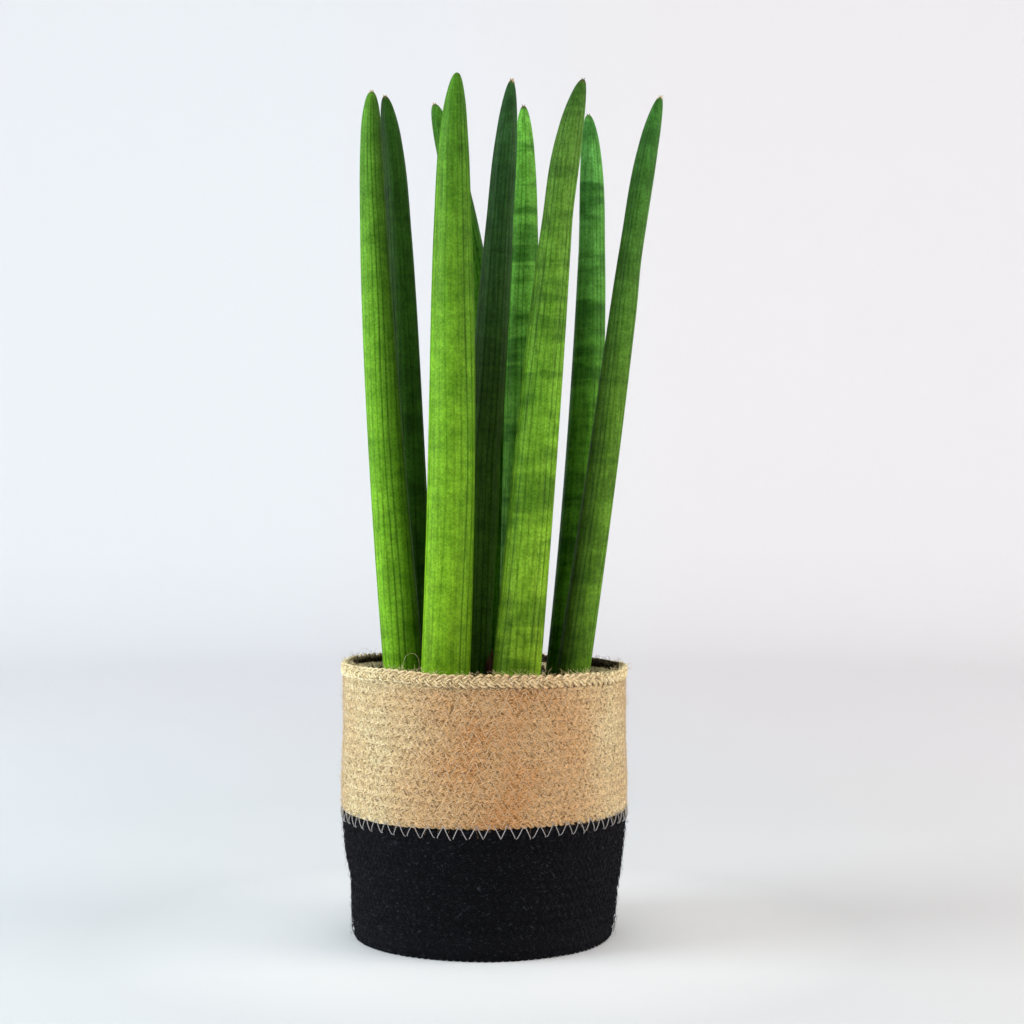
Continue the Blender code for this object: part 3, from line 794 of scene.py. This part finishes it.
def growLeaf(name, index, look):
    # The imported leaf's own centre line and widths, with furrows cut into its skin
    points = nodePoints(name)
    levels = np.unique(np.round(points[:, 2], 5))
    rings = [points[np.abs(points[:, 2] - z) < 2e-5, :2] for z in levels]
    centre = np.array([(ring.min(0) + ring.max(0)) / 2 for ring in rings])
    half = np.array([(ring.max(0) - ring.min(0)) / 2 for ring in rings])
    foot, tip, taper = levels[1], levels[-1], leafSet["taper"]
    rounded = np.sin(np.linspace(0, math.pi / 2, leafSet["tipLevels"]))[1:-1]
    straight = np.linspace(foot, tip - taper, leafSet["levels"] - leafSet["tipLevels"])
    at = np.concatenate([[levels[0]], straight, tip - taper + taper * rounded, [tip - 1e-5]])
    centreX, centreY = (curveThrough(levels, centre[:, axis], at) for axis in (0, 1))
    last = np.searchsorted(levels, tip - taper + 0.1 * mm) - 1
    dome = np.clip(1 - (np.maximum(at - (tip - taper), 0) / taper) ** 2, 0, 1) ** 0.4
    swell = np.clip((at - (tip - leafSet["fullFrom"])) / leafSet["fullOver"], 0, 1)
    fuller = 1 + look["fuller"] * swell * swell * (3 - 2 * swell)
    widths = []
    for axis in (0, 1):
        body = curveThrough(levels[:last + 1], half[:last + 1, axis], np.minimum(at, levels[last]))
        slope = (half[last, axis] - half[last - 2, axis]) / (levels[last] - levels[last - 2])
        body = body + slope * np.maximum(at - levels[last], 0)
        widths.append(np.maximum(body * dome * fuller, 0.02 * mm))
    grooves = leafSet["grooves"]
    around = grooves * leafSet["pointsPerGroove"]
    theta = np.linspace(0, fullTurn, around, endpoint=False)[None]
    up = ((at - foot) / (tip - foot))[:, None]
    # Furrows wander a little, each with a depth of its own, and fade out towards the tip
    slow = 0.09 * np.sin(5 * up + index) + 0.05 * np.sin(13 * up + 2 * index)
    groove = np.abs(np.cos((theta + slow) * grooves / 2))
    nearest = np.round((theta + slow) / fullTurn * grooves).astype(int) % grooves
    strength = np.random.default_rng(40 + index).uniform(0.1, 1.0, grooves)[nearest]
    calm = np.clip((1 - up) * 12, 0, 1) * np.clip(widths[0][:, None] / (7 * mm), 0.15, 1)
    cut = leafSet["grooveDepth"] * groove ** 22 * strength * calm
    rib = leafSet["ribHeight"] * np.sin(theta * 6 + index + 4 * up) * calm
    broad = 1 + 0.012 * np.sin(2 * theta + index)
    x = centreX[:, None] + (widths[0][:, None] * broad - cut + rib) * np.cos(theta)
    y = centreY[:, None] + (widths[1][:, None] * broad - cut + rib) * np.sin(theta)
    z = np.broadcast_to(at[:, None], x.shape)
    rings = np.stack([x, y, z], -1)
    # Painted shade: strongest on the side that faces shadeAt, thinning up the leaf towards shadeTop
    facing = np.clip(0.5 + 0.5 * np.cos(theta - math.radians(look["shadeAt"])), 0, 1) ** 1.6
    shadeUp = 1 - (1 - look["shadeTop"]) * np.clip(up, 0, 1) ** 1.3
    marks = {
        "upLeaf": np.broadcast_to(up, x.shape).ravel(),
        "furrow": (groove ** 14 * strength).ravel(),
        "fromTip": np.clip((tip - z) / (3 * mm), 0, 1).ravel(),
        "paintedShade": (facing * look["paintedShade"] * shadeUp).ravel(),
    }
    leaf = makePiece(f"{name}_skin", rings.reshape(-1, 3), ringFaces(len(at), around, False),
                     livingLeaf(f"livingLeaf{index}", look, 3.7 * index), marks=marks)
    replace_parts(leaf, name)
    if not look["tipSize"]:
        return
    # A dried point that has split in two
    pile = Pile()
    direction = np.array((centreX[-1] - centreX[-6], centreY[-1] - centreY[-6], at[-1] - at[-6]))
    direction /= np.linalg.norm(direction)
    along = np.linspace(-0.6, 1, 7)[:, None]
    for prong in (-1, 1):
        start = np.array((centreX[-1] + prong * 0.45 * mm, centreY[-1], tip - 0.7 * mm))
        path = start + direction * along * 1.6 * mm + np.array((prong * 0.35 * mm, 0, 0)) * along ** 2
        size = np.array((0.85, 0.8, 0.7, 0.58, 0.42, 0.3, 0.08)) * mm
        size = size * chance.uniform(0.8, 1.1) * look["tipSize"]
        pile.add(tube(path, np.tile((0, -1.0, 0), (7, 1)), size, size, 8, False))
    pile.piece(f"{name}_dry_tip", driedPoint(f"driedPoint{index}", look["tip"]), "dry_husk")


for index, (name, look) in enumerate(leafLooks.items(), 1):
    growLeaf(name, index, look)
print("leaves are grown")

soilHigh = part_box("soil")[1]
soilSet = {
    "rings": 70, "around": 220, "edgeGap": 0.2 * mm, "sunk": 1.0 * mm, "skirt": 12 * mm,
    "bumps": 0.78 * mm, "seed": 5, "crumbs": 1500, "crumbSize": 1.6 * mm,
    "tones": [(0.3, "#1B120C"), (0.5, "#38281B"), (0.64, "#5A4430"), (0.78, "#8A7458")],
}


def pottingSoil():
    # Peat and bark mix: matte dark crumbs with a few paler bits
    made, tree, shader = newMaterial("peatAndBarkSoil")
    world = addNode(tree, "ShaderNodeTexCoord").outputs["Object"]
    crumbs = addNode(tree, "ShaderNodeTexVoronoi", {
        "Vector": world, "Scale": 480.0})  # crumbs about 2 mm wide
    fine = addNode(tree, "ShaderNodeTexNoise", {
        "Vector": world, "Scale": 900.0, "Detail": 5.0, "Roughness": 0.7}).outputs["Fac"]
    tone = addNode(tree, "ShaderNodeValToRGB", {"Fac": fine}, stops=soilSet["tones"])
    height = addNode(tree, "ShaderNodeMath", {0: crumbs.outputs["Distance"], 1: fine}, operation="ADD")
    raised = addNode(tree, "ShaderNodeBump", {
        "Height": height.outputs[0], "Strength": 0.9, "Distance": 0.8 * mm})
    fillInputs(tree, shader, {
        "Base Color": tone.outputs["Color"], "Normal": raised.outputs[0], "Roughness": 0.95,
        "Specular IOR Level": 0.2})
    return made


def soilHeight(x, y):
    # Smooth bumps from a few crossing waves, the same on every run
    total = np.zeros_like(x)
    for octave in range(1, 6):
        turn = np.random.default_rng(soilSet["seed"] + octave).uniform(0, fullTurn, 3)
        scale = 90 * 1.9 ** octave
        total += (np.sin(scale * (x * math.cos(turn[0]) + y * math.sin(turn[0])) + turn[1])
                  * np.sin(scale * (x * math.sin(turn[0]) - y * math.cos(turn[0])) + turn[2])) / octave
    return soilHigh.z - soilSet["sunk"] + total * soilSet["bumps"]


def spreadSoil():
    soilLook = pottingSoil()
    radius = soilHigh.x - soilSet["edgeGap"]
    rings, around = soilSet["rings"], soilSet["around"]
    radii = radius * np.linspace(0.004, 1, rings) ** 0.8
    theta = np.linspace(0, fullTurn, around, endpoint=False)
    r, t = np.meshgrid(radii, theta, indexing="ij")
    x, y = r * np.cos(t), r * np.sin(t)
    top = np.stack([x, y, soilHeight(x, y)], -1)
    skirt = np.stack([x[-1], y[-1], np.full(around, soilHigh.z - soilSet["skirt"])], -1)[None]
    points = np.concatenate([top, skirt]).reshape(-1, 3)
    soil = makePiece("soil_surface", points, ringFaces(rings + 1, around, False), soilLook)
    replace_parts(soil, "soil")
    # Loose crumbs: squashed eight-cornered lumps
    corners = np.array([(a, b, c) for a in (-1, 1) for b in (-1, 1) for c in (-1, 1)], float)
    cubeFaces = np.array([(0, 1, 3, 2), (4, 6, 7, 5), (0, 4, 5, 1), (2, 3, 7, 6), (0, 2, 6, 4), (1, 5, 7, 3)])
    points, faces = [], []
    for crumb in range(soilSet["crumbs"]):
        away, turn = radius * 0.985 * math.sqrt(chance.uniform()), chance.uniform(0, fullTurn)
        spot = np.array((away * math.cos(turn), away * math.sin(turn)))
        size = soilSet["crumbSize"] * chance.uniform(0.25, 1.0) ** 1.5
        lump = corners * chance.uniform(0.35, 0.75, (8, 3)) * size
        spin = chance.uniform(0, fullTurn)
        turned = np.array(((math.cos(spin), -math.sin(spin)), (math.sin(spin), math.cos(spin))))
        lump[:, :2] = lump[:, :2] @ turned
        ground = float(soilHeight(spot[0:1], spot[1:2])[0])
        faces.append(cubeFaces + 8 * crumb)
        points.append(lump + (*spot, ground + 0.25 * size))
    makePiece("soil_crumbs", np.concatenate(points), np.concatenate(faces), soilLook)


spreadSoil()

potTones = [(0.4, "#141414"), (0.62, "#1E1D1C"), (0.8, "#3B3733")]


def mouldedPot():
    # Black injection-moulded polypropylene: satin, with fine scuffs and a film of dust
    made, tree, shader = newMaterial("mouldedPolypropylene")
    world = addNode(tree, "ShaderNodeTexCoord").outputs["Object"]
    scuffs = addNode(tree, "ShaderNodeTexNoise", {
        "Vector": world, "Scale": 220.0, "Detail": 5.0, "Roughness": 0.65}).outputs["Fac"]
    tone = addNode(tree, "ShaderNodeValToRGB", {"Fac": scuffs}, stops=potTones)
    rough = addNode(tree, "ShaderNodeMapRange", {"Value": scuffs, "To Min": 0.38, "To Max": 0.62})
    raised = addNode(tree, "ShaderNodeBump", {"Height": scuffs, "Strength": 0.3, "Distance": 0.15 * mm})
    fillInputs(tree, shader, {
        "Base Color": tone.outputs["Color"], "Roughness": rough.outputs[0], "Normal": raised.outputs[0]})
    return made


potObject = nodes["nursery_pot"]
potObject.data.materials.clear()
potObject.data.materials.append(mouldedPot())

sheath = {
    "tones": [(0.32, "#160D08"), (0.5, "#4A2414"), (0.7, "#9A5A36")],
    "columns": 40, "rows": 30,
    "turnFrom": -70, "turnOver": 65,  # degrees round its own axis
    "axisIn": 10.6 * mm, "axisBack": 10.2 * mm, "radius": 10.0 * mm, "thick": 0.45 * mm, "lean": 1.2 * mm,
}


def papery():
    # Dead scale leaf: thin brown paper with darker veins up its length
    made, tree, shader = newMaterial("driedScaleLeaf")
    world = addNode(tree, "ShaderNodeTexCoord").outputs["Object"]
    veinPlace = addNode(tree, "ShaderNodeMapping", {"Vector": world, "Scale": (1500, 1500, 60)})
    veins = addNode(tree, "ShaderNodeTexNoise", {
        "Vector": veinPlace.outputs[0], "Scale": 1.0, "Detail": 4.0, "Roughness": 0.6}).outputs["Fac"]
    tone = addNode(tree, "ShaderNodeValToRGB", {"Fac": veins}, stops=sheath["tones"])
    raised = addNode(tree, "ShaderNodeBump", {"Height": veins, "Strength": 0.7, "Distance": 0.3 * mm})
    fillInputs(tree, shader, {
        "Base Color": tone.outputs["Color"], "Normal": raised.outputs[0], "Roughness": 0.8})
    return made


def drySheath():
    # Curled scale leaf with a torn upper edge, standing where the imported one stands
    low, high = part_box("dry_sheath")
    share = np.linspace(0, 1, sheath["columns"])
    turn = np.radians(sheath["turnFrom"] + sheath["turnOver"] * share)
    torn = 0.7 + 0.2 * np.abs(np.sin(19 * share + 1)) * np.abs(np.sin(7 * share)) + 0.07 * np.sin(61 * share)
    tall = (high.z - low.z) * (0.3 + 0.7 * np.abs(np.sin(math.pi * share)) ** 0.8) * torn
    up = np.linspace(0, 1, sheath["rows"])[:, None]
    flare = sheath["radius"] + (0.9 * up ** 2 + 0.25 * np.sin(40 * share + 3 * up)) * mm
    x = high.x - sheath["axisIn"] + flare * np.cos(turn) + sheath["lean"] * up
    y = low.y + sheath["axisBack"] + flare * 0.92 * np.sin(turn)
    z = low.z + tall * up
    outer = np.stack([x, y, z], -1)
    inner = np.stack([x - sheath["thick"] * np.cos(turn), y - sheath["thick"] * np.sin(turn), z], -1)
    sheet = np.concatenate([outer, inner[:, ::-1]], 1)
    piece = makePiece("dry_scale_leaf", sheet.reshape(-1, 3),
                      ringFaces(sheath["rows"], 2 * sheath["columns"], False), papery())
    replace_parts(piece, "dry_sheath")


drySheath()
print("soil, pot and dry sheath are in place")
